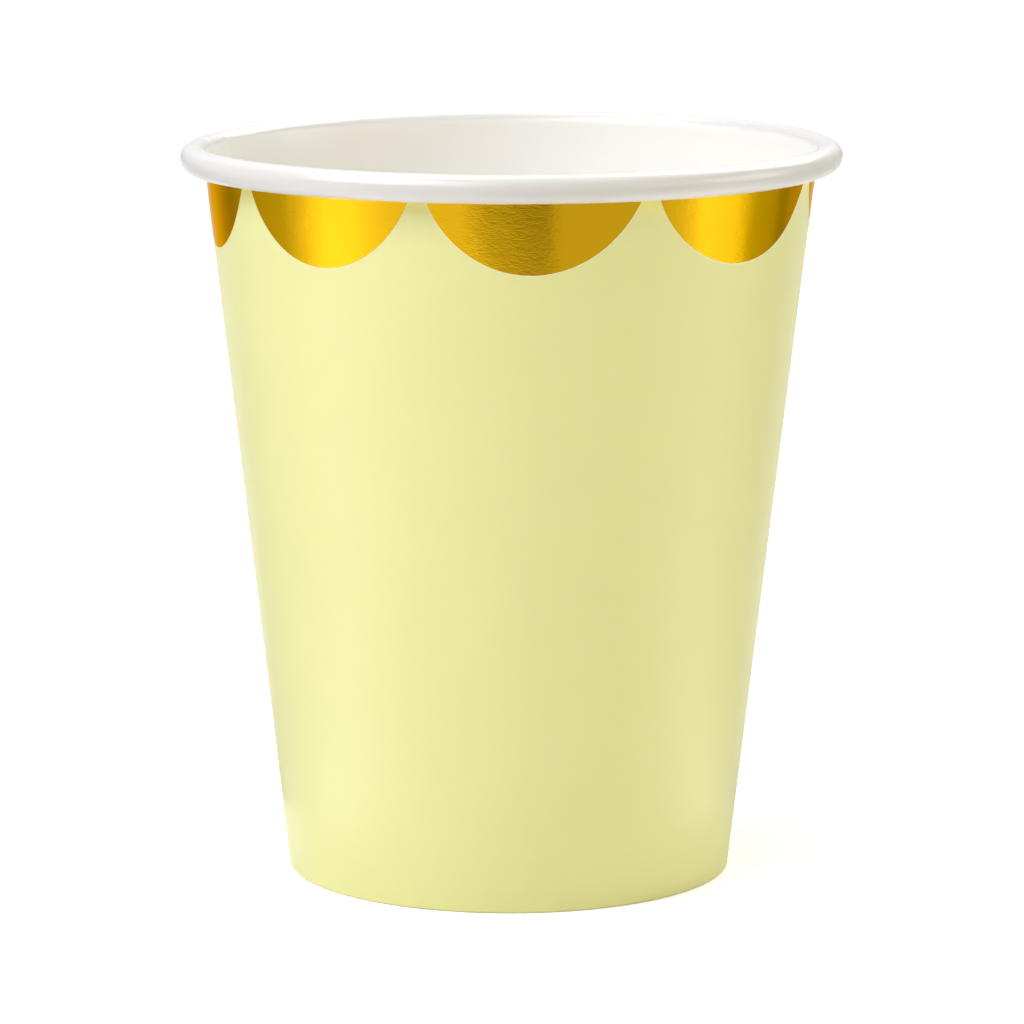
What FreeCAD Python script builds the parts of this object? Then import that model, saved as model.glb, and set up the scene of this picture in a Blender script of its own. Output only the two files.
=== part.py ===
"""Paper party cup: a tapered board wall with a rolled rim and a recessed board bottom.

Two pieces of coated board make the cup. The wall is a fan-shaped sheet wrapped into a cone, lapped and
sealed down one side, curled outwards into a roll at the top and folded inwards into a hem at the bottom.
The bottom is a disc whose edge is turned down as a skirt and held between the wall and the hem. Scallops
of gold foil hang from under the roll.

Sizes are in millimetres. The cup stands on z = 0 with its axis on +Z and its front towards -Y.
Azimuths run from the front towards +X.
"""

import FreeCAD
import Part
import math
import os

# Cup
rim_diameter = 80.0
cup_height = 89.6
base_diameter = 54.25
board = 0.35
seal_film = 0.01

# Rolled rim
roll_diameter = 3.27
roll_gap = 0.1
roll_tail_turn = 215.0

# Hem and bottom
disc_board = 0.32
disc_recess = 7.0
disc_bend_radius = 0.55
hem_clearance = 1.4
skirt_clearance = 0.3

# Side lap, where the wall's two ends overlap
lap_azimuth = -108.0
lap_width = 6.0
lap_ramp = 1.2
lap_rise = 1.6
lap_tuck = 0.2
lap_edge_gap = 0.1

# Foil scallops
scallop_count = 8
scallop_radius = 14.85
scallop_drop = 8.63
scallop_azimuth = 9.9
scallop_drift = 6.45
scallop_drift_azimuth = 116.0
foil = 0.05
foil_tuck = 0.25

SAME = 1e-6
AXIS = FreeCAD.Vector(0, 0, 1)
ORIGIN = FreeCAD.Vector(0, 0, 0)
FULL_TURN = 360.0
FRONT = -90.0


def polar(length, heading):
    """A step of the given length in the (radius, height) plane, at a heading in degrees."""
    angle = math.radians(heading)
    return (length * math.cos(angle), length * math.sin(angle))


def section_point(radius, height):
    """A point of a section, drawn in the XZ plane."""
    return FreeCAD.Vector(radius, 0, height)


class Strip:
    """A strip of board seen edge on: a path of straight runs and arcs that meet smoothly."""

    def __init__(self, start, heading, thickness):
        self.point = start
        self.heading = heading
        self.half = thickness / 2
        self.left = []
        self.right = []

    def side(self, offset, point=None, heading=None):
        """The point beside the path, to its left where the offset is positive."""
        at = self.point if point is None else point
        step = polar(offset, (self.heading if heading is None else heading) + 90)
        return section_point(at[0] + step[0], at[1] + step[1])

    def forward(self, length):
        """A straight run."""
        before = self.side(self.half), self.side(-self.half)
        step = polar(length, self.heading)
        self.point = (self.point[0] + step[0], self.point[1] + step[1])
        self.left.append(Part.LineSegment(before[0], self.side(self.half)).toShape())
        self.right.append(Part.LineSegment(before[1], self.side(-self.half)).toShape())

    def turn(self, radius, degrees):
        """An arc of the path's own radius, to the left where the turn is positive; a fold is sharp inside."""
        hand = 1 if degrees > 0 else -1
        out = polar(radius, self.heading + hand * 90)
        centre = (self.point[0] + out[0], self.point[1] + out[1])

        def along(share):
            back = polar(-radius, self.heading + share * degrees + hand * 90)
            return (centre[0] + back[0], centre[1] + back[1])

        for side, edges in ((self.half, self.left), (-self.half, self.right)):
            if radius - hand * side > SAME:
                ends = [self.side(side, along(share), self.heading + share * degrees) for share in (0, 0.5, 1)]
                edges.append(Part.Arc(*ends).toShape())
        self.point = along(1)
        self.heading += degrees

    def face(self):
        """The strip's section, closed across both ends."""
        first = self.left[0].Vertexes[0].Point, self.right[0].Vertexes[0].Point
        last = self.side(self.half), self.side(-self.half)
        caps = [Part.LineSegment(*first).toShape(), Part.LineSegment(*last).toShape()]
        return Part.Face(Part.Wire(Part.__sortEdges__(self.left + self.right + caps)))


def spin(face, start=0.0, sweep=FULL_TURN):
    """A section carried round the axis, from one azimuth through a sweep."""
    face = face.copy()
    face.rotate(ORIGIN, AXIS, start + FRONT)
    return face.revolve(ORIGIN, AXIS, sweep)


# The wall's middle line leaves the base and just touches the roll's middle circle.
roll_path_radius = (roll_diameter - board) / 2
roll_centre = (rim_diameter / 2 - roll_diameter / 2, cup_height - roll_diameter / 2)
roll_underside = cup_height - roll_diameter
base_middle = (base_diameter / 2 - board / 2, 0.0)
reach = math.dist(base_middle, roll_centre)
centre_heading = math.degrees(math.atan2(roll_centre[1], roll_centre[0] - base_middle[0]))
wall_heading = centre_heading + math.degrees(math.asin(roll_path_radius / reach))
taper = 90.0 - wall_heading
lean = math.tan(math.radians(taper))
across = 1 / math.cos(math.radians(taper))


def wall_radius(height, outwards=0.0):
    """The radius at a height of a cone set outwards, square to the board, from the wall's outer face."""
    return base_middle[0] + lean * height + (board / 2 + outwards) * across


def cone_band(inner, outer, low, high):
    """The section of a band between two cones that lie at set distances from the wall's outer face."""
    corners = [
        section_point(wall_radius(low, inner), low),
        section_point(wall_radius(low, outer), low),
        section_point(wall_radius(high, outer), high),
        section_point(wall_radius(high, inner), high),
    ]
    return Part.Face(Part.makePolygon(corners + corners[:1]))


def wall_ring():
    """The wall's section through hem, fold, cone and roll, carried all the way round."""
    fold = board / 2
    pinch = board + disc_board + 2 * seal_film
    outer_corner = base_middle[0] + lean * fold
    inner_corner = outer_corner - pinch * across
    down_turn = 90.0 + taper
    up_turn = wall_heading
    trim_in = fold * math.tan(math.radians(down_turn / 2))
    trim_out = fold * math.tan(math.radians(up_turn / 2))
    hem_height = disc_recess - hem_clearance
    hem_top = (inner_corner + lean * (hem_height - fold), hem_height)
    strip = Strip(hem_top, -down_turn, board)
    strip.forward((hem_height - fold) * across - trim_in)
    strip.turn(fold, down_turn)
    strip.forward(outer_corner - inner_corner - trim_in - trim_out)
    strip.turn(fold, up_turn)
    strip.forward(math.sqrt(reach**2 - roll_path_radius**2) - fold * across - trim_out)
    strip.turn(roll_path_radius, -(wall_heading + 180.0))
    strip.turn(roll_path_radius - board - roll_gap, -roll_tail_turn)
    return spin(strip.face())


def arc_degrees(length, radius):
    """The azimuth that a length takes up round a circle."""
    return math.degrees(length / radius)


def lap_span():
    """The azimuths where the lap's outer ply ends, and where it begins to climb."""
    top_radius = wall_radius(roll_underside)
    covered = lap_azimuth + arc_degrees(lap_width, top_radius)
    return lap_azimuth, covered, covered + arc_degrees(lap_ramp, top_radius)


def side_lap():
    """The ply that lies over the wall along the lap, with the short ramp where it climbs."""
    end, covered, foot = lap_span()
    low, high = lap_rise, roll_underside + lap_tuck
    ply = spin(cone_band(-board / 2, board, low, high), end, covered - end)
    thick = cone_band(-board / 2, board, low, high).OuterWire
    thin = cone_band(-board / 2, -board / 8, low, high).OuterWire
    thick.rotate(ORIGIN, AXIS, covered + FRONT)
    thin.rotate(ORIGIN, AXIS, foot + FRONT)
    return ply.fuse(Part.makeLoft([thick, thin], True, True))


def side_wall():
    return wall_ring().fuse(side_lap()).removeSplitter()


def bottom_disc():
    """The disc, with its edge turned down as a skirt between the wall and the hem."""
    depth = board + seal_film + disc_board / 2
    level = disc_recess + disc_board / 2
    corner = wall_radius(level, -depth)
    turn = 90.0 + taper
    trim = disc_bend_radius * math.tan(math.radians(turn / 2))
    skirt_foot = board + skirt_clearance
    strip = Strip((0.0, level), 0.0, disc_board)
    strip.forward(corner - trim)
    strip.turn(disc_bend_radius, -turn)
    strip.forward((level - skirt_foot) * across - trim)
    return spin(strip.face())


def scallop_azimuths(index):
    """The azimuth of a scallop and how much the drift widens it: the row is a little closer on one side."""
    even = index * FULL_TURN / scallop_count
    phase = math.radians(even - scallop_drift_azimuth)
    centre = even + scallop_azimuth + scallop_drift * math.sin(phase)
    return centre, 1 + math.radians(scallop_drift) * math.cos(phase)


def scallop_punch(index):
    """An oval bar through the wall: a foil circle on the flat sheet, once the sheet is wrapped."""
    azimuth, widening = scallop_azimuths(index)
    centre_height = roll_underside - scallop_drop + scallop_radius / across
    hidden = (centre_height - roll_underside) * across
    half_angle = widening * math.sqrt(scallop_radius**2 - hidden**2) / wall_radius(roll_underside)
    half_width = widening * scallop_radius * math.sin(half_angle) / half_angle
    middle = FreeCAD.Vector(wall_radius(centre_height), 0, centre_height)
    outward = FreeCAD.Vector(1, 0, -lean).normalize()
    sideways = FreeCAD.Vector(0, 1, 0)
    upward = outward.cross(sideways)
    long_axis, short_axis = (sideways, upward) if half_width > scallop_radius else (upward, sideways)
    radii = sorted((half_width, scallop_radius))
    base = middle - outward * scallop_radius
    oval = Part.Ellipse(base + long_axis * radii[1], base + short_axis * radii[0], base)
    punch = Part.Face(Part.Wire(oval.toShape())).extrude(outward * 2 * scallop_radius)
    punch.rotate(ORIGIN, AXIS, azimuth + FRONT)
    return punch


def foil_scallops():
    """The foil on the wall and on the lap, cut to scallops and tucked up under the roll."""
    end, covered, foot = lap_span()
    low, high = roll_underside - scallop_drop - board, roll_underside + foil_tuck
    clear = arc_degrees(lap_edge_gap, wall_radius(high))
    on_wall = spin(cone_band(seal_film, seal_film + foil, low, high), foot, FULL_TURN - (foot - end) - clear)
    lifted = board + seal_film
    lap_top = roll_underside + lap_tuck
    on_lap = spin(cone_band(lifted, lifted + foil, low, lap_top), end, covered - end)
    pieces = []
    for index in range(scallop_count):
        punch = scallop_punch(index)
        for layer in (on_wall, on_lap):
            pieces += layer.common(punch).Solids
    return Part.makeCompound(pieces)


os.makedirs("parts", exist_ok=True)
for name, make in (
    ("side_wall", side_wall),
    ("bottom_disc", bottom_disc),
    ("foil_scallops", foil_scallops),
):
    shape = make()
    shape.exportStep(f"parts/{name}.step")
    print(name, "solids", len(shape.Solids), "valid", shape.isValid(), "volume", round(shape.Volume, 2))
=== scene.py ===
import math

import bmesh
import bpy
import numpy as np
from mathutils import Matrix, Vector


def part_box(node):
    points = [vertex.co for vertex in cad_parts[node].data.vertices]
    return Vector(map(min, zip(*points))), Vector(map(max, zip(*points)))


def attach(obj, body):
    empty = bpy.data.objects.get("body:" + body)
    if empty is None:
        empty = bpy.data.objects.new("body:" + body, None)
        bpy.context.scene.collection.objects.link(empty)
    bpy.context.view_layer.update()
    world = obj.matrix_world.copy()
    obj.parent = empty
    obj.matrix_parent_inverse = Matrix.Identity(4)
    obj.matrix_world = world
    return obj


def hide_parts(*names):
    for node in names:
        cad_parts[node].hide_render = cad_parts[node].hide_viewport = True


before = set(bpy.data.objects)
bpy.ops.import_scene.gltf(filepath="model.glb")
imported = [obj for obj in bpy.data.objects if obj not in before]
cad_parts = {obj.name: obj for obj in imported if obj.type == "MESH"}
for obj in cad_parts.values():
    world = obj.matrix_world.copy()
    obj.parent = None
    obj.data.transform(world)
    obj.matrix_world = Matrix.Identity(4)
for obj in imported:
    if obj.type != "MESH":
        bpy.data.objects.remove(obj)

# The looks of a paper party cup: a board wall printed pastel yellow, with a white rolled rim, a raised
# white bottom and gold foil scallops under the rim. Lengths are in metres, and azimuths run from the
# front, which is -Y, towards +X.

bl_info = {
    "name": "Paper Party Cup",
    "version": (1, 0, 0),
    "blender": (4, 5, 0),
    "location": "View3D > Sidebar > Paper Cup",
    "description": "Builds a rolled-rim paper cup with gold foil scallops around its packed solids",
    "category": "Add Mesh",
}

MM = 0.001
SMALLEST = 1e-9
FOOT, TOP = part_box("side_wall")


def length(name, description, default):
    """A length property, in metres."""
    return bpy.props.FloatProperty(
        name=name, description=description, default=default, unit="LENGTH", subtype="DISTANCE", precision=5
    )


def degrees(name, description, default):
    """An angle property whose default is given in degrees."""
    return bpy.props.FloatProperty(
        name=name, description=description, default=math.radians(default), unit="ROTATION", subtype="ANGLE"
    )


def colour(name, description, red, green, blue):
    """A colour property whose default is given in display values from 0 to 255."""
    return bpy.props.FloatVectorProperty(
        name=name,
        description=description,
        default=tuple(linear(value) for value in (red, green, blue)),
        subtype="COLOR",
        size=3,
        min=0.0,
        max=1.0,
    )


def linear(value):
    """The light that a display value from 0 to 255 stands for."""
    share = value / 255
    return share / 12.92 if share <= 0.04045 else ((share + 0.055) / 1.055) ** 2.4


class CupWall(bpy.types.PropertyGroup):
    """Sizes of the board wall, its roll, hem and side lap."""

    rim_diameter: length("Rim", "Across the rolled rim", TOP.x - FOOT.x)
    height: length("Height", "From the table to the top of the roll", TOP.z)
    base_diameter: length("Base", "Across the bottom edge of the wall", 54.25 * MM)
    board: length("Board", "Thickness of the wall board", 0.35 * MM)
    roll_diameter: length("Roll", "Across the rolled edge", 3.27 * MM)
    roll_gap: length("Roll gap", "Between the turns of the rolled edge", 0.1 * MM)
    roll_tail: degrees("Roll tail", "How far the board runs on inside the roll", 215.0)
    fold_radius: length("Fold radius", "Of the board's middle in the bottom fold", 0.2 * MM)
    hem_height: length("Hem", "From the table to the top of the inner hem", 5.6 * MM)
    lap_azimuth: degrees("Lap", "Where the outer ply of the side lap ends", -108.0)
    lap_width: length("Lap width", "Overlap of the wall's two ends at the rim", 6.0 * MM)
    lap_ramp: length("Lap ramp", "Run in which the outer ply climbs", 1.2 * MM)
    lap_on_roll: length("Lap on roll", "Step that the lap leaves on the pressed roll", 0.02 * MM)
    rim_lift: length("Rim lift", "Rise of the rim's right back and fall of its left back", 0.33 * MM)
    rim_shift: length("Rim shift", "How far the roll sits to the right of the wall", 0.12 * MM)
    lean: length("Lean", "How far the cup leans to the right at the rim", 0.12 * MM)
    widening: length("Widening", "How much wider than deep the cup is at the rim", 0.36 * MM)
    roll_sag: length("Roll sag", "How far the roll's underside hangs below a true circle", 0.12 * MM)
    ribs: bpy.props.IntProperty(name="Hem ribs", description="Pressed ribs around the inner hem", default=120)
    rib_depth: length("Rib depth", "Depth of the pressed ribs in the inner hem", 0.05 * MM)


class CupBottom(bpy.types.PropertyGroup):
    """Sizes of the raised bottom disc."""

    board: length("Board", "Thickness of the disc board", 0.32 * MM)
    recess: length("Recess", "From the table to the underside of the disc", 7.0 * MM)
    bend_radius: length("Bend radius", "Of the board's middle where the skirt turns down", 0.55 * MM)
    seal: length("Seal", "Film between the disc's skirt and the wall", 0.01 * MM)
    skirt_foot: length("Skirt foot", "From the table to the skirt's lower edge", 0.65 * MM)
    crown: length("Crown", "Rise of the disc's middle", 0.25 * MM)


class CupScallops(bpy.types.PropertyGroup):
    """Sizes of the gold foil scallops."""

    count: bpy.props.IntProperty(name="Count", description="Scallops around the rim", default=8)
    radius: length("Radius", "Of a scallop's edge on the flat sheet", 14.85 * MM)
    drop: length("Drop", "From the roll's underside to a scallop's lowest point", 8.63 * MM)
    azimuth: degrees("Azimuth", "Turn of the whole row", 9.75)
    drift: degrees("Drift", "How far the row's spacing strays from even", 6.45)
    drift_azimuth: degrees("Drift azimuth", "Where the stray is nil and rising", 116.0)
    foil: length("Foil", "Thickness of the foil", 0.03 * MM)
    lift: length("Lift", "Gap between wall and foil", 0.004 * MM)
    tuck: length("Tuck", "How far the foil runs up behind the roll", 0.3 * MM)


class CupColours(bpy.types.PropertyGroup):
    """Colours of ink, board and foil."""

    print_yellow: colour("Print", "Pastel yellow ink on the wall", 232, 231, 160)
    board_white: colour("Board", "Coated white board on the rim", 234, 234, 235)
    # Painted shade: the roll's outer side and inner edge are painted greyer where shade falls
    roll_painted_shade: colour("Roll shade", "White board on the roll's outer side and inner edge", 217, 215, 213)
    # Painted bounce light: ink close under the roll, brighter and yellower for light from the roll and foil
    ink_painted_bounce: colour("Ink bounce", "Ink close under the roll, lit by its own colour", 248, 240, 128)
    # Partly painted light: white board inside, with a warm tint for light that comes through the printed wall
    inside_white: colour("Inside", "Coated white board inside, warmed by the ink behind it", 246, 245, 242)
    foil_gold: colour("Foil", "Gold foil", 250, 195, 26)
    foil_edge: colour("Foil edge", "Tint of the foil where it turns away", 240, 198, 90)
    # A pale hairline just outside each scallop's edge
    foil_hairline: colour("Margin", "Bare margin around a scallop", 246, 246, 205)


class CupStage(bpy.types.PropertyGroup):
    """Camera and table."""

    lens: bpy.props.FloatProperty(
        name="Lens", description="Focal length in millimetres", default=180.2, subtype="DISTANCE_CAMERA"
    )
    distance: length("Distance", "From the cup's axis to the camera, level", 620.5 * MM)
    camera_height: length("Camera height", "Above the table", 152.5 * MM)
    pitch: degrees("Pitch", "How far the camera looks down", 9.93)
    yaw: degrees("Yaw", "How far the camera turns right", 0.032)
    roll: degrees("Roll", "How far the camera rolls", -0.066)
    table: colour("Table", "Pale table", 250, 250, 250)
    table_bounce: colour("Table bounce", "Tone of the table in the light it sends back", 238, 238, 238)


def wall_values():
    return bpy.context.scene.cup_wall


def bottom_values():
    return bpy.context.scene.cup_bottom


def scallop_values():
    return bpy.context.scene.cup_scallops


def colour_values():
    return bpy.context.scene.cup_colours


def stage_values():
    return bpy.context.scene.cup_stage


# Shapes


class BoardPath:
    """The middle line of a board seen edge on: points in the radius and height plane, with headings.

    A run adds points along the heading, and a turn adds points on an arc. The board's two faces lie half
    its thickness to the left and right of the line.
    """

    def __init__(self, start, heading):
        self.points = [np.array([start])]
        self.headings = [np.array([heading])]

    def forward(self, run, steps, spacing=1.0):
        """Points at shares of the run, where spacing above 1 crowds them towards its end."""
        share = 1 - (1 - np.arange(1, steps + 1) / steps) ** spacing
        heading = self.headings[-1][-1]
        step = np.array([math.cos(heading), math.sin(heading)])
        self.points.append(self.points[-1][-1] + run * share[:, None] * step)
        self.headings.append(np.full(steps, heading))
        return self

    def turn(self, radius, angle, steps):
        """Points on an arc that turns to the left where the angle is positive."""
        hand = math.copysign(1.0, angle)
        start = self.headings[-1][-1]
        to_centre = start + hand * math.pi / 2
        centre = self.points[-1][-1] + radius * np.array([math.cos(to_centre), math.sin(to_centre)])
        headings = start + angle * np.arange(1, steps + 1) / steps
        outwards = headings - hand * math.pi / 2
        self.points.append(centre + radius * np.stack([np.cos(outwards), np.sin(outwards)], axis=1))
        self.headings.append(headings)
        return self

    def line(self):
        """All the points, and the heading at each."""
        return np.concatenate(self.points), np.concatenate(self.headings)


class Cone:
    """The wall's cone: it leaves the base and its middle line just touches the roll's middle circle."""

    def __init__(self):
        size = wall_values()
        self.board = size.board
        self.roll_path = (size.roll_diameter - size.board) / 2
        self.roll_radius = (size.rim_diameter - size.roll_diameter) / 2
        self.roll_height = size.height - size.roll_diameter / 2
        self.underside = size.height - size.roll_diameter
        self.base = (size.base_diameter - size.board) / 2
        reach = math.hypot(self.roll_radius - self.base, self.roll_height)
        to_centre = math.atan2(self.roll_height, self.roll_radius - self.base)
        self.heading = to_centre + math.asin(self.roll_path / reach)
        self.taper = math.pi / 2 - self.heading
        self.lean = math.tan(self.taper)
        self.across = 1 / math.cos(self.taper)
        self.run = math.sqrt(reach**2 - self.roll_path**2)

    def radius(self, height, outwards=0.0):
        """The radius at a height, at a distance square to the board from the wall's outer face."""
        return self.base + self.lean * height + (self.board / 2 + outwards) * self.across

    def slant(self, height):
        """Distance along the cone from its tip."""
        return (height + self.radius(0.0) / self.lean) * self.across

    def height(self, slant):
        """The height at a distance along the cone from its tip."""
        return slant / self.across - self.radius(0.0) / self.lean


def smooth(value, low, high):
    """Nothing below low, one above high, and an S curve between."""
    share = np.clip((value - low) / (high - low), 0.0, 1.0)
    return share * share * (3 - 2 * share)


def lap_marks(cone):
    """Azimuths where the outer ply ends, where the inner ply ends, and where the outer ply has come down."""
    size = wall_values()
    top = cone.radius(cone.underside)
    inner_end = size.lap_azimuth + size.lap_width / top
    return size.lap_azimuth, inner_end, inner_end + size.lap_ramp / top


STEP_WIDTH = math.radians(0.04)


def lap_outside(azimuth, cone):
    """How much of a board's thickness the outer face stands proud: a cliff, a flat top and a short ramp."""
    outer_end, inner_end, foot = lap_marks(cone)
    return np.interp(azimuth, [outer_end - STEP_WIDTH, outer_end, inner_end, foot], [0.0, 1.0, 1.0, 0.0])


def lap_inside(azimuth, cone):
    """How much the inner face falls back: a cliff at the inner ply's end, then the outer ply's ramp."""
    _, inner_end, foot = lap_marks(cone)
    return np.interp(azimuth, [inner_end - STEP_WIDTH, inner_end, foot], [0.0, 1.0, 0.0])


def wall_azimuths(cone, steps=476):
    """Even azimuths all round, from the back to the back, with more at the lap's edges."""
    even = np.linspace(-math.pi, math.pi, steps, endpoint=False)
    outer_end, inner_end, foot = lap_marks(cone)
    edges = [outer_end - STEP_WIDTH, outer_end, inner_end - STEP_WIDTH, inner_end, foot]
    return np.unique(np.concatenate([even, edges]))


def place(azimuth, radius, height):
    """Points from azimuth, radius and height arrays of one shape, on a cup that isn't quite true.

    Up the wall the cup grows a little wider than deep and leans to the right, and the roll sits a little
    further right. The rim rises at the right back and falls at the left back.
    """
    size = wall_values()
    share = height / size.height
    side = radius * np.sin(azimuth) * (1 + share * size.widening / size.rim_diameter)
    side = side + size.lean * share + size.rim_shift * smooth(share, 0.92, 0.98)
    around = np.sin(azimuth) * (1 - np.cos(azimuth)) / 2
    lifted = height + size.rim_lift * around * smooth(share, 0.5, 1.0)
    return np.stack([side, -radius * np.cos(azimuth), lifted], axis=-1)


def ring_faces(around, along, wrap_around=True, wrap_along=True):
    """Four-sided faces of a grid whose points are numbered along first, closed over either way."""
    i = np.arange(around if wrap_around else around - 1)[:, None]
    j = np.arange(along if wrap_along else along - 1)[None, :]
    i_next, j_next = (i + 1) % around, (j + 1) % along
    corners = [i * along + j, i_next * along + j, i_next * along + j_next, i * along + j_next]
    return np.stack([np.broadcast_to(c, (i.size, j.size)) for c in corners], axis=-1).reshape(-1, 4)


def enclosed(points, faces):
    """Volume inside a closed mesh of four-sided faces: a sixth of the sum of triple products."""
    a, b, c, d = (points[faces[:, k]] for k in range(4))
    return (np.einsum("ij,ij->i", a, np.cross(b, c)) + np.einsum("ij,ij->i", a, np.cross(c, d))).sum() / 6


def mesh_piece(name, points, faces, materials, node, face_materials=None, marks=None, sharp=30.0):
    """A closed mesh as one piece that rides on the cup and stands for a node."""
    points = points.reshape(-1, 3)
    if enclosed(points, faces) < 0:
        faces = faces[:, ::-1]
    mesh = bpy.data.meshes.new(name)
    mesh.from_pydata(points.tolist(), [], faces.tolist())
    for material in materials:
        mesh.materials.append(material)
    if face_materials is not None:
        mesh.polygons.foreach_set("material_index", face_materials.astype(np.int32))
    for label, values in (marks or {}).items():
        kind, field = ("FLOAT", "value") if values.ndim == 1 else ("FLOAT_VECTOR", "vector")
        mesh.attributes.new(label, kind, "POINT").data.foreach_set(field, values.astype(np.float32).ravel())
    merge_doubles(mesh)
    mesh.polygons.foreach_set("use_smooth", np.ones(len(mesh.polygons), dtype=bool))
    mesh.set_sharp_from_angle(angle=math.radians(sharp))
    mesh.update()
    piece = bpy.data.objects.new(name, mesh)
    bpy.context.scene.collection.objects.link(piece)
    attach(piece, "root")
    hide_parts(node)
    return piece


def merge_doubles(mesh):
    """Points that share a place, as at a pole or a scallop's corner, become one."""
    work = bmesh.new()
    work.from_mesh(mesh)
    bmesh.ops.remove_doubles(work, verts=work.verts, dist=SMALLEST)
    bmesh.ops.dissolve_degenerate(work, edges=work.edges, dist=SMALLEST)
    work.to_mesh(mesh)
    work.free()


def scallop_slant(cone):
    """Distance from the cone's tip to the centre of a scallop's circle, on the flat sheet."""
    size = scallop_values()
    return cone.slant(cone.underside - size.drop) + size.radius


def drifted(even):
    """Azimuth on the cup of an azimuth in the even row: the spacing strays by one slow sine."""
    size = scallop_values()
    return even + size.azimuth + size.drift * np.sin(even - size.drift_azimuth)


def evened(azimuth):
    """The even azimuth of an azimuth on the cup, read back from a fine table of the drift."""
    table = np.linspace(-2 * math.pi, 2 * math.pi, 2881)
    return np.interp(azimuth, drifted(table), table)


def foil_distance(azimuth, height, cone):
    """Distance on the flat sheet from the nearest scallop's edge, negative inside the scallop."""
    size = scallop_values()
    pitch = 2 * math.pi / size.count
    even = evened(azimuth)
    offset = (even - pitch * np.round(even / pitch)) * math.sin(cone.taper)
    slant, centre = cone.slant(height), scallop_slant(cone)
    return np.sqrt(slant**2 + centre**2 - 2 * slant * centre * np.cos(offset)) - size.radius


HEM_STEPS = 5
FOLD_STEPS = 6


def build_wall():
    """The wall: the board's middle line runs down the hem, round the fold, up the cone and round the roll.

    Each face of the board is that line moved half a board's thickness to one side and carried round the
    axis. The lap moves the faces outwards on the cone, and swells the roll a little.
    """
    size, cone = wall_values(), Cone()
    half = size.board / 2
    bottom = bottom_values()
    pinch = size.board + bottom.board + 2 * bottom.seal
    outer_corner = cone.base + cone.lean * half
    inner_corner = outer_corner - pinch * cone.across
    down_turn, up_turn = math.pi / 2 + cone.taper, cone.heading
    trim_in = size.fold_radius * math.tan(down_turn / 2)
    trim_out = size.fold_radius * math.tan(up_turn / 2)
    hem_top = (inner_corner + cone.lean * (size.hem_height - half), size.hem_height)
    path = BoardPath(hem_top, -down_turn)
    path.forward((size.hem_height - half) * cone.across - trim_in, HEM_STEPS)
    path.turn(size.fold_radius, down_turn, FOLD_STEPS)
    path.forward(outer_corner - inner_corner - trim_in - trim_out, steps=1)
    path.turn(size.fold_radius, up_turn, FOLD_STEPS)
    fold_end = sum(len(part) for part in path.points)
    path.forward(cone.run - half * cone.across - trim_out, steps=30, spacing=1.5)
    wall_end = sum(len(part) for part in path.points)
    path.turn(cone.roll_path, -(cone.heading + math.pi), steps=30)
    path.turn(cone.roll_path - size.board - size.roll_gap, -size.roll_tail, steps=14)
    line, headings = path.line()
    index = np.arange(len(line))
    below = np.where(index >= wall_end, np.clip(cone.roll_height - line[:, 1], 0.0, None), 0.0)
    line[:, 1] -= size.roll_sag * below / (size.roll_diameter / 2)
    on_cone = (index >= fold_end) & (index < wall_end)

    azimuths = wall_azimuths(cone)
    azimuth = azimuths[:, None]
    left = np.stack([-np.sin(headings), np.cos(headings)], axis=1)
    outside = lap_outside(azimuth, cone) * size.board
    inside = lap_inside(azimuth, cone) * size.board
    low_fade = smooth(line[:, 1], 0.3 * MM, 1.6 * MM)
    high_fade = 1 - smooth(line[:, 1], cone.underside - 0.4 * MM, cone.underside + 0.6 * MM)
    fade = low_fade * high_fade * on_cone
    swell = size.lap_on_roll * (lap_outside(azimuth, cone) - lap_inside(azimuth, cone))
    swell = swell * smooth(line[:, 1], cone.underside, cone.roll_height) * (index >= wall_end - 3)
    ribs = size.rib_depth * (1 + np.cos(size.ribs * azimuth)) / 2 * ((index > 0) & (index < HEM_STEPS))

    def face(offset, extra):
        """One face of the board: offset to the left of the line, with an extra offset by azimuth."""
        shift = offset + extra
        radius = line[:, 0] + shift * left[:, 0]
        height = line[:, 1] + shift * left[:, 1]
        return place(np.broadcast_to(azimuth, radius.shape), radius, height)

    # The left of the line is the inner face on the cone, the outer face on the roll, and the face
    # against the disc on the hem.
    left_face = face(half, swell - inside * fade)
    right_face = face(-half, ribs - outside * fade)
    loop = np.concatenate([left_face, right_face[:, ::-1]], axis=1)
    count = len(line)
    faces = ring_faces(len(azimuths), 2 * count)

    # The print runs down the wall, round the fold and over the flat underneath.
    print_end = 2 * count - fold_end + FOLD_STEPS + 2
    column = np.tile(np.arange(2 * count), len(azimuths))
    outer_print = (column >= count) & (column < print_end)
    heights = loop[..., 2]
    # The angle at which the left face looks up, below nought where it looks down. The painted shade, a greyer
    # colour where shade falls, comes in over the roll's outer shoulder, thins out underneath, and lies half
    # as strong on the inner shoulder.
    upward = np.where(index >= wall_end, math.pi / 2 + headings, math.pi / 2)
    shade = smooth(-upward, -1.05, -0.35) * (1 - 0.7 * smooth(-upward, 0.2, 0.8))
    shade = np.maximum(shade, 0.5 * smooth(headings, 0.4, 0.85) * (index >= wall_end))
    inner = np.where(index < wall_end, on_cone, smooth(headings, 0.95, 1.4) * (index >= wall_end))
    marks = {
        "foil_edge": (foil_distance(azimuth, heights, cone) / MM).ravel(),
        "below_roll": ((cone.underside - heights) / MM).ravel(),
        "inside": np.tile(np.concatenate([inner, 0 * index]), len(azimuths)),
        "shade": np.tile(np.concatenate([shade, 0 * index]), len(azimuths)),
    }
    materials = [board_material(), print_material()]
    return mesh_piece(
        "cup_wall", loop, faces, materials, "side_wall",
        face_materials=outer_print, marks=marks, sharp=40.0,
    )


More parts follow.
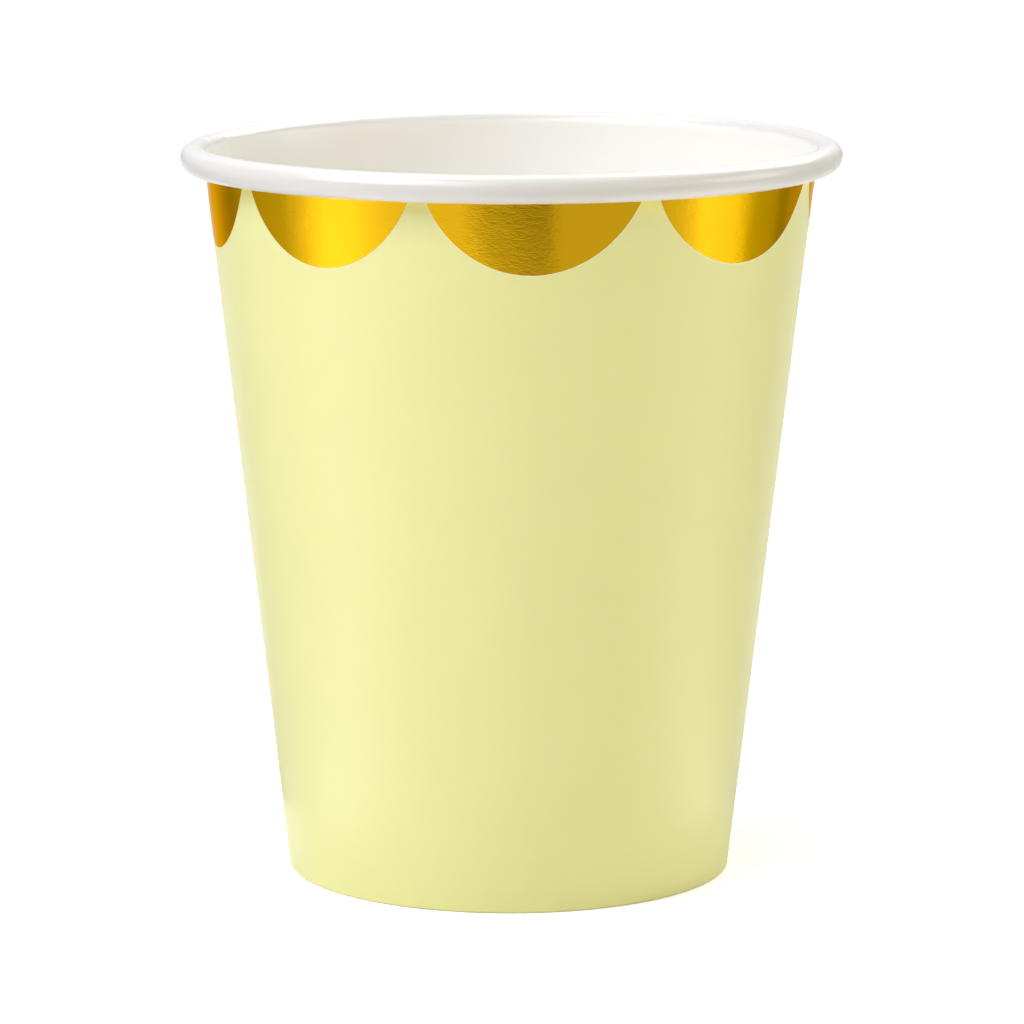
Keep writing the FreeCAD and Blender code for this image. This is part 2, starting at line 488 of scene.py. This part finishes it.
def build_bottom():
    """The disc: the board's middle line runs out from the axis, bends down and ends in the skirt.

    The disc's middle rises by a shallow crown, a cosine from the middle to the bend.
    """
    size, cone = bottom_values(), Cone()
    level = size.recess + size.board / 2
    depth = cone.board + size.seal + size.board / 2
    turn = math.pi / 2 + cone.taper
    trim = size.bend_radius * math.tan(turn / 2)
    flat = cone.radius(level, -depth) - trim
    path = BoardPath((0.0, level), 0.0)
    path.forward(flat, steps=24)
    path.turn(size.bend_radius, -turn, steps=8)
    path.forward((level - size.skirt_foot) * cone.across - trim, steps=5)
    line, headings = path.line()
    line[:, 1] += size.crown * np.where(line[:, 0] < flat, (1 + np.cos(math.pi * line[:, 0] / flat)) / 2, 0.0)
    left = np.stack([-np.sin(headings), np.cos(headings)], axis=1)
    upper, lower = line + left * size.board / 2, line - left * size.board / 2
    loop = np.concatenate([upper, lower[::-1]])
    azimuths = np.linspace(-math.pi, math.pi, 240, endpoint=False)
    radius, azimuth = np.meshgrid(np.maximum(loop[:, 0], 0.0), azimuths)
    height = np.broadcast_to(loop[:, 1], radius.shape)
    points = np.stack([radius * np.sin(azimuth), -radius * np.cos(azimuth), height], axis=-1)
    faces = ring_faces(len(azimuths), len(loop), wrap_along=False)
    corners = points.shape[0] * points.shape[1]
    marks = {"inside": np.ones(corners), "shade": np.zeros(corners)}
    return mesh_piece(
        "cup_bottom", points, faces, [board_material()], "bottom_disc", marks=marks
    )


def build_scallops():
    """The foil: each scallop is a circle on the flat sheet, wrapped on the cone and cut off behind the roll.

    Columns run down from the cut to the circle. A column's lower end is the near root of the law of
    cosines for the circle, seen from the cone's tip.
    """
    size, cone = scallop_values(), Cone()
    pitch = 2 * math.pi / size.count
    centre = scallop_slant(cone)
    top = cone.slant(cone.underside + size.tuck)
    widest = math.acos((top**2 + centre**2 - size.radius**2) / (2 * top * centre))
    lap_edges = evened(np.array([*lap_marks(cone), lap_marks(cone)[0] - STEP_WIDTH]))
    rows, columns = 14, 81
    all_points, all_faces, all_sheet, start = [], [], [], 0
    for index in range(size.count):
        even_centre = pitch * index - (2 * math.pi if 2 * index > size.count else 0)
        spread = np.linspace(-1.0, 1.0, columns) * widest
        extra = (lap_edges - even_centre) * math.sin(cone.taper)
        spread = np.unique(np.concatenate([spread, extra[np.abs(extra) < widest]]))[:, None]
        low = centre * np.cos(spread) - np.sqrt(size.radius**2 - (centre * np.sin(spread)) ** 2)
        slant = top + (np.minimum(low, top) - top) * np.linspace(0.0, 1.0, rows)
        height = cone.height(slant)
        azimuth = np.broadcast_to(drifted(even_centre + spread / math.sin(cone.taper)), height.shape)
        proud = lap_outside(azimuth, cone) * cone.board
        proud = proud * (1 - smooth(height, cone.underside - 0.4 * MM, cone.underside + 0.6 * MM))
        skins = []
        for lift in (size.lift, size.lift + size.foil):
            radius = cone.radius(height, proud + lift)
            skins.append(place(azimuth, radius, height - (proud + lift) * math.sin(cone.taper)))
        loop = np.concatenate([skins[0], skins[1][:, ::-1]], axis=1)
        faces = ring_faces(len(spread), 2 * rows, wrap_around=False)
        if enclosed(loop.reshape(-1, 3), faces) < 0:
            faces = faces[:, ::-1]
        along = np.broadcast_to(azimuth * cone.radius(cone.underside), height.shape)
        sheet = np.stack([along, slant, np.zeros_like(slant)], axis=-1)
        all_points.append(loop.reshape(-1, 3))
        all_faces.append(faces + start)
        all_sheet.append(np.concatenate([sheet, sheet[:, ::-1]], axis=1).reshape(-1, 3))
        start += loop.shape[0] * loop.shape[1]
    return mesh_piece(
        "gold_scallops", np.concatenate(all_points), np.concatenate(all_faces), [foil_material()],
        "foil_scallops", marks={"sheet": np.concatenate(all_sheet)}, sharp=25.0,
    )


# Materials

# Places of the Mix node's sockets for colours, whose names it gives more than once
MIX_SHARE, MIX_FIRST, MIX_SECOND, MIX_COLOUR = 0, 6, 7, 2
# Place of the Attribute node's number among its outputs
ATTRIBUTE_NUMBER = 2


class Wire:
    """A shader socket that takes part in sums: each operator adds its Math node."""

    def __init__(self, shader, socket):
        self.shader = shader
        self.socket = socket

    def math(self, operation, *values):
        return self.shader.add("Math", {"operation": operation}, *values)

    def __add__(self, other):
        return self.math("ADD", self, other)

    __radd__ = __add__

    def __sub__(self, other):
        return self.math("SUBTRACT", self, other)

    def __rsub__(self, other):
        return self.math("SUBTRACT", other, self)

    def __mul__(self, other):
        return self.math("MULTIPLY", self, other)

    def __truediv__(self, other):
        return self.math("DIVIDE", self, other)

    def __pow__(self, other):
        return self.math("POWER", self, other)

    def __abs__(self):
        return self.math("ABSOLUTE", self)

    def rising(self, low, high):
        """Nothing below low, one above high, and an S curve between."""
        settings = {"interpolation_type": "SMOOTHSTEP"}
        return self.shader.add("MapRange", settings, self, low, high, 0.0, 1.0)


class Shader:
    """A material's node tree, with one method for any node."""

    def __init__(self, name):
        self.material = bpy.data.materials.new(name)
        self.material.use_nodes = True
        self.tree = self.material.node_tree
        self.tree.nodes.clear()

    def add(self, kind, settings, *values, output=0, **named):
        """A node with its settings made first, then its sockets by place or by name."""
        node = self.tree.nodes.new("ShaderNode" + kind)
        for key, value in settings.items():
            if key == "stops":
                self.set_stops(node.color_ramp, value)
            else:
                setattr(node, key, value)
        slots = list(enumerate(values)) + [(key.replace("_", " "), value) for key, value in named.items()]
        for key, value in slots:
            self.feed(node.inputs[key], value)
        return Wire(self, node.outputs[output])

    def feed(self, socket, value):
        """A link from a wire, or else a constant on the socket."""
        if isinstance(value, Wire):
            self.tree.links.new(value.socket, socket)
        elif socket.type == "RGBA":
            socket.default_value = (*value, 1.0)
        else:
            socket.default_value = value

    @staticmethod
    def set_stops(ramp, stops):
        """Grey stops of a colour ramp, each with its position and level."""
        while len(ramp.elements) > 1:
            ramp.elements.remove(ramp.elements[-1])
        for index, (position, value) in enumerate(stops):
            element = ramp.elements[0] if index == 0 else ramp.elements.new(position)
            element.position = position
            element.color = (value, value, value, 1.0)

    def mix(self, share, first, second, blend="MIX"):
        """A mix of two colours."""
        node = self.tree.nodes.new("ShaderNodeMix")
        node.data_type = "RGBA"
        node.blend_type = blend
        for socket, value in ((MIX_SHARE, share), (MIX_FIRST, first), (MIX_SECOND, second)):
            self.feed(node.inputs[socket], value)
        return Wire(self, node.outputs[MIX_COLOUR])

    def mark(self, name):
        """A number that the mesh's points carry."""
        return self.add("Attribute", {"attribute_name": name}, output=ATTRIBUTE_NUMBER)

    def noise(self, at, scale, detail=2.0, distortion=0.0):
        """Noise at a place, whose scale is about its waves in a unit of the coordinates."""
        values = {"Scale": scale, "Detail": detail, "Roughness": 0.5, "Distortion": distortion}
        return self.add("TexNoise", {}, Vector=at, **values)

    def stretched(self, at, across, up):
        """Coordinates on the flat sheet, multiplied by a scale each way."""
        return self.add("Mapping", {}, Vector=at, Scale=(across, up, 1.0))

    def bump(self, height, distance, normal=None):
        """A bump whose height of 1 is the distance, over the normal of another one if given."""
        values = {"Height": height, "Distance": distance, "Strength": 1.0}
        if normal is not None:
            values["Normal"] = normal
        return self.add("Bump", {}, **values)

    def finish(self, surface):
        output = self.tree.nodes.new("ShaderNodeOutputMaterial")
        self.tree.links.new(surface.socket, output.inputs["Surface"])
        return self.material


def board_texture(shader):
    """Coordinates, the cloudy formation of cup board, and its bump with fine fibre over the clouds."""
    at = shader.add("TexCoord", {}, output="Object")
    formation = shader.noise(at, 420.0, detail=3.0)
    fibre = shader.noise(at, 3800.0)
    normal = shader.bump(formation, 0.012 * MM)
    return at, formation, shader.bump(fibre, 0.0025 * MM, normal=normal)


def print_material():
    """Pastel yellow ink on satin board, with painted bounce light under the roll and a pale foil hairline."""
    shader, colours = Shader("yellow_print"), colour_values()
    at, formation, normal = board_texture(shader)
    cloud = shader.noise(at, 110.0, detail=3.0)
    distance = shader.mark("foil_edge")
    # A pale hairline just outside each scallop's edge.
    margin = distance.rising(-0.05, 0.02) * (1 - distance.rising(0.07, 0.17))
    ink = shader.mix(cloud.rising(0.3, 0.7) * 0.05, tuple(colours.print_yellow), (1.0, 1.0, 1.0), "MULTIPLY")
    shade = 0.985 + cloud * 0.03
    tone = shader.add("CombineColor", {}, shade, shade, shade * (0.99 + formation * 0.02))
    ink = shader.mix(1.0, ink, tone, "MULTIPLY")
    below_roll = shader.mark("below_roll")
    # Painted bounce light: the ink turns brighter and yellower close under the roll.
    ink = shader.mix((1 - below_roll.rising(0.0, 2.6)) * 0.9, ink, tuple(colours.ink_painted_bounce))
    ink = shader.mix(margin * 0.75, ink, tuple(colours.foil_hairline))
    surface = shader.add(
        "BsdfPrincipled", {}, Base_Color=ink, Roughness=0.36 + formation * 0.1, IOR=1.5, Normal=normal,
        Coat_Weight=0.5, Coat_Roughness=0.25,
    )
    return shader.finish(surface)


def board_material():
    """Coated white board: painted shade around the roll's outer side, and a painted warm tint inside."""
    shader, colours = Shader("white_board"), colour_values()
    at, formation, normal = board_texture(shader)
    # Painted shade: the roll's outer side and inner edge take a greyer colour where shade falls.
    inside, shaded = shader.mark("inside"), shader.mark("shade")
    white = shader.mix(shaded, tuple(colours.board_white), tuple(colours.roll_painted_shade))
    white = shader.mix(inside, white, tuple(colours.inside_white))
    shade = 0.985 + shader.noise(at, 140.0) * 0.03
    white = shader.mix(1.0, white, shader.add("CombineColor", {}, shade, shade, shade), "MULTIPLY")
    roughness = 0.19 + inside * 0.15 + formation * 0.1
    surface = shader.add(
        "BsdfPrincipled", {}, Base_Color=white, Roughness=roughness, IOR=1.5, Normal=normal,
        Coat_Weight=0.4, Coat_Roughness=0.3,
    )
    return shader.finish(surface)


def foil_material():
    """Gold foil pressed on board: bright metal with fine crinkles that run mostly around the cup."""
    shader, colours = Shader("gold_foil"), colour_values()
    sheet = shader.add("Attribute", {"attribute_name": "sheet"}, output="Vector")
    waves = shader.noise(shader.stretched(sheet, 600.0, 1900.0), 1.0, distortion=1.2)
    ridges = (1 - abs(waves * 2 - 1)) ** 2.0
    grain = shader.noise(shader.stretched(sheet, 4200.0, 5200.0), 1.0)
    swell = shader.noise(shader.stretched(sheet, 260.0, 150.0), 1.0)
    normal = shader.bump(swell, 0.03 * MM)
    normal = shader.bump(ridges, 0.007 * MM, normal=normal)
    normal = shader.bump(grain, 0.0012 * MM, normal=normal)
    surface = shader.add(
        "BsdfPrincipled", {}, Base_Color=tuple(colours.foil_gold), Specular_Tint=tuple(colours.foil_edge),
        Metallic=1.0, Roughness=0.09 + grain * 0.05, Normal=normal,
    )
    return shader.finish(surface)


# Stage

# Brightness of the cards on the table, by azimuth from the front in degrees: what the foil and the satin
# coating mirror.
CARD_LEVELS = (
    (-180, 1.10), (-150, 1.00), (-136, 0.46), (-128, 0.34), (-118, 0.46), (-92, 0.54), (-86, 0.78),
    (-80, 1.02), (-71, 1.50), (-60, 1.42), (-50, 1.10), (-42, 0.92), (-26, 0.84), (-13, 0.84),
    (-8, 0.66), (0, 0.54), (6, 0.46), (14, 0.43), (17, 0.57), (48, 0.57), (60, 0.70),
    (67, 0.86), (74, 1.32), (92, 1.13), (101, 0.55), (116, 0.46), (122, 0.30), (128, 0.45),
    (140, 0.60), (160, 0.95), (180, 1.10),
)
# The cards' inner edge, the distance at which they have their own level, and their outer edge
CARD_INNER, CARD_MIDDLE, CARD_OUTER = 45 * MM, 240 * MM, 900 * MM
# How fast they fade all round, how much faster in front, and the most that nearness multiplies them by
CARD_FADE, CARD_FRONT_FADE, CARD_MOST = 0.2, 1.8, 1.7
# The azimuths between which the dark sector in front ends, on either side
CARD_FRONT_EDGE = math.radians(11), math.radians(18)


def card_material():
    """A glow by azimuth around the cup, for the cards that the foil mirrors.

    It fades with distance, as a power of CARD_MIDDLE over it, and fastest in the dark sector in front.
    """
    shader = Shader("table_cards")
    at = shader.add("TexCoord", {}, output="Object")
    x, y = (shader.add("SeparateXYZ", {}, at, output=axis) for axis in "XY")
    azimuth = x.math("ARCTAN2", x, y * -1)
    front = 1 - abs(azimuth).rising(*CARD_FRONT_EDGE)
    nearness = (x * x + y * y) ** -0.5 * CARD_MIDDLE
    fade = nearness ** (CARD_FADE + front * CARD_FRONT_FADE)
    fade = fade.math("MINIMUM", fade, CARD_MOST)
    share = azimuth / (2 * math.pi) + 0.5
    top = max(level for _, level in CARD_LEVELS)
    stops = [(angle / 360 + 0.5, level / top) for angle, level in CARD_LEVELS]
    level = shader.add("ValToRGB", {"stops": stops}, share)
    glow = shader.mix(1.0, level, shader.add("CombineColor", {}, fade, fade, fade), "MULTIPLY")
    return shader.finish(shader.add("Emission", {}, Color=glow, Strength=top))


# The distances between which the table's glow grows, and its levels
FAR_TABLE = 0.5, 2.0
NEAR_GLOW, FAR_GLOW = (0.38, 0.38, 0.38), (0.9, 0.9, 0.9)


def table_material():
    """A pale table that looks white to the camera and keeps the cup's shadow.

    It glows for the camera only, and more so far off, where the lamps don't reach. From below it is clear.
    """
    shader, colours = Shader("pale_table"), stage_values()
    camera = shader.add("LightPath", {}, output="Is Camera Ray")
    behind = shader.add("NewGeometry", {}, output="Backfacing")
    tone = shader.mix(camera, tuple(colours.table_bounce), tuple(colours.table))
    diffuse = shader.add("BsdfDiffuse", {}, Color=tone)
    at = shader.add("TexCoord", {}, output="Object")
    away = shader.add("VectorMath", {"operation": "LENGTH"}, at, output="Value")
    shine = shader.mix(away.rising(*FAR_TABLE), NEAR_GLOW, FAR_GLOW)
    glow = shader.add("Emission", {}, Color=shader.mix(camera, (0.0, 0.0, 0.0), shine), Strength=1.0)
    lit = shader.add("AddShader", {}, diffuse, glow)
    clear = shader.add("BsdfTransparent", {})
    return shader.finish(shader.add("MixShader", {}, behind, lit, clear))


def stage_mesh(name, points, faces, material):
    """A mesh that belongs to the stage and not to the cup."""
    mesh = bpy.data.meshes.new(name)
    mesh.from_pydata([tuple(p) for p in points], [], faces)
    mesh.materials.append(material)
    piece = bpy.data.objects.new(name, mesh)
    bpy.context.scene.collection.objects.link(piece)
    return piece


def build_table():
    """The table, and just above it the ring of cards, which only mirroring rays see."""
    side, above, radii = 6.0, 0.2 * MM, (CARD_INNER, CARD_OUTER)
    corners = [(-side, -side, 0.0), (side, -side, 0.0), (side, side, 0.0), (-side, side, 0.0)]
    stage_mesh("table", corners, [(0, 1, 2, 3)], table_material())
    azimuth = np.linspace(-math.pi, math.pi, 181)
    ring = [(radius * math.sin(a), -radius * math.cos(a), above) for a in azimuth for radius in radii]
    faces = [(2 * k, 2 * k + 1, 2 * k + 3, 2 * k + 2) for k in range(len(azimuth) - 1)]
    cards = stage_mesh("table_cards", ring, faces, card_material())
    cards.visible_camera = False
    cards.visible_diffuse = False
    cards.visible_transmission = False
    cards.visible_shadow = False


# The soft lamps around the cup: azimuth from the front and height angle in degrees, power in watts, and
# light colour. The window side is the left. The low lamps at the right lift the shaded side, and the one
# nearer the front is yellow.
LAMPS = (
    ("window_lamp", -60, 42, 14.5, (0.94, 0.97, 1.00)),
    ("window_front_lamp", -30, 42, 6.5, (1.00, 0.92, 0.88)),
    ("window_high_lamp", -120, 68, 5.9, (1.00, 0.96, 0.92)),
    ("back_lamp", 150, 42, 11.0, (1.00, 0.99, 0.92)),
    ("right_lamp", 90, 12, 6.8, (0.97, 0.99, 1.00)),
    ("right_front_lamp", 60, 12, 3.6, (1.00, 0.81, 0.25)),
)
LAMP_DISTANCE, LAMP_SIZE = 1.5, 0.9
LAMP_TARGET = Vector((0.0, 0.0, 50 * MM))


def build_lamp(name, azimuth, elevation, power, light):
    """A square soft lamp that faces the cup."""
    data = bpy.data.lights.new(name, "AREA")
    data.shape = "SQUARE"
    data.size = LAMP_SIZE
    data.energy = power
    data.color = light
    turn, rise = math.radians(azimuth), math.radians(elevation)
    away = Vector((math.sin(turn) * math.cos(rise), -math.cos(turn) * math.cos(rise), math.sin(rise)))
    facing = (-away).to_track_quat("-Z", "Y").to_matrix().to_4x4()
    lamp = bpy.data.objects.new(name, data)
    lamp.matrix_world = Matrix.Translation(LAMP_TARGET + away * LAMP_DISTANCE) @ facing
    bpy.context.scene.collection.objects.link(lamp)


# The room's level as light, and how far a mirror raises it towards the camera's white
ROOM_LIGHT, ROOM_MIRRORED = 0.1, 0.65


def build_world():
    """A room that is white to the camera, dimmer in a mirror and dimmest as light on the cup."""
    world = bpy.data.worlds.new("soft_room")
    bpy.context.scene.world = world
    world.use_nodes = True
    tree = world.node_tree
    back = tree.nodes["Background"]
    path = tree.nodes.new("ShaderNodeLightPath")
    level = tree.nodes.new("ShaderNodeMapRange")
    level.inputs["To Min"].default_value = ROOM_LIGHT
    level.inputs["To Max"].default_value = 1.0
    mirrored = tree.nodes.new("ShaderNodeMath")
    mirrored.operation = "MULTIPLY_ADD"
    mirrored.inputs[1].default_value = ROOM_MIRRORED
    tree.links.new(path.outputs["Is Glossy Ray"], mirrored.inputs[0])
    tree.links.new(path.outputs["Is Camera Ray"], mirrored.inputs[2])
    tree.links.new(mirrored.outputs[0], level.inputs["Value"])
    tree.links.new(level.outputs[0], back.inputs["Strength"])
    back.inputs["Color"].default_value = (1.0, 1.0, 1.0, 1.0)


def build_camera():
    """The camera looks along +Y, turned down by the pitch, right by the yaw and round by the roll."""
    values = stage_values()
    yaw, pitch, roll = values.yaw, values.pitch, values.roll
    ahead = Vector((math.sin(yaw) * math.cos(pitch), math.cos(yaw) * math.cos(pitch), -math.sin(pitch)))
    level_right = Vector((math.cos(yaw), -math.sin(yaw), 0.0))
    level_down = ahead.cross(level_right)
    right = math.cos(roll) * level_right + math.sin(roll) * level_down
    down = math.cos(roll) * level_down - math.sin(roll) * level_right
    data = bpy.data.cameras.new("camera")
    data.lens = values.lens
    data.sensor_width = 36.0
    camera = bpy.data.objects.new("camera", data)
    turn = Matrix((right, -down, -ahead)).transposed().to_4x4()
    camera.matrix_world = Matrix.Translation((0.0, -values.distance, values.camera_height)) @ turn
    bpy.context.scene.collection.objects.link(camera)
    bpy.context.scene.camera = camera


def build_stage():
    build_table()
    build_world()
    for lamp in LAMPS:
        build_lamp(*lamp)
    build_camera()
    bpy.context.scene.view_settings.view_transform = "Standard"


class CUP_OT_wall(bpy.types.Operator):
    """Build the wall with its roll, hem and side lap"""

    bl_idname = "cup.wall"
    bl_label = "Wall"

    def execute(self, context):
        build_wall()
        return {"FINISHED"}


class CUP_OT_bottom(bpy.types.Operator):
    """Build the raised bottom disc"""

    bl_idname = "cup.bottom"
    bl_label = "Bottom"

    def execute(self, context):
        build_bottom()
        return {"FINISHED"}


class CUP_OT_scallops(bpy.types.Operator):
    """Build the gold foil scallops"""

    bl_idname = "cup.scallops"
    bl_label = "Scallops"

    def execute(self, context):
        build_scallops()
        return {"FINISHED"}


class CUP_OT_stage(bpy.types.Operator):
    """Build the table, lamps and camera"""

    bl_idname = "cup.stage"
    bl_label = "Stage"

    def execute(self, context):
        build_stage()
        return {"FINISHED"}


OPERATORS = (CUP_OT_wall, CUP_OT_bottom, CUP_OT_scallops, CUP_OT_stage)
GROUPS = {
    "cup_wall": CupWall,
    "cup_bottom": CupBottom,
    "cup_scallops": CupScallops,
    "cup_colours": CupColours,
    "cup_stage": CupStage,
}


class CUP_PT_panel(bpy.types.Panel):
    """Values and build buttons of the cup"""

    bl_idname = "CUP_PT_panel"
    bl_label = "Paper Cup"
    bl_space_type = "VIEW_3D"
    bl_region_type = "UI"
    bl_category = "Paper Cup"

    def draw(self, context):
        for name in GROUPS:
            box = self.layout.box()
            values = getattr(context.scene, name)
            for key in values.__annotations__:
                box.prop(values, key)
        for operator in OPERATORS:
            self.layout.operator(operator.bl_idname)


CLASSES = (*GROUPS.values(), *OPERATORS, CUP_PT_panel)


def register():
    for item in CLASSES:
        bpy.utils.register_class(item)
    for name, group in GROUPS.items():
        setattr(bpy.types.Scene, name, bpy.props.PointerProperty(type=group))


def unregister():
    for name in GROUPS:
        delattr(bpy.types.Scene, name)
    for item in reversed(CLASSES):
        bpy.utils.unregister_class(item)


def main():
    """Builds the stage and the pieces."""
    register()
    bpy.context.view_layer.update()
    bpy.ops.cup.stage()
    bpy.ops.cup.wall()
    bpy.ops.cup.bottom()
    bpy.ops.cup.scallops()


if __name__ == "__main__":
    main()
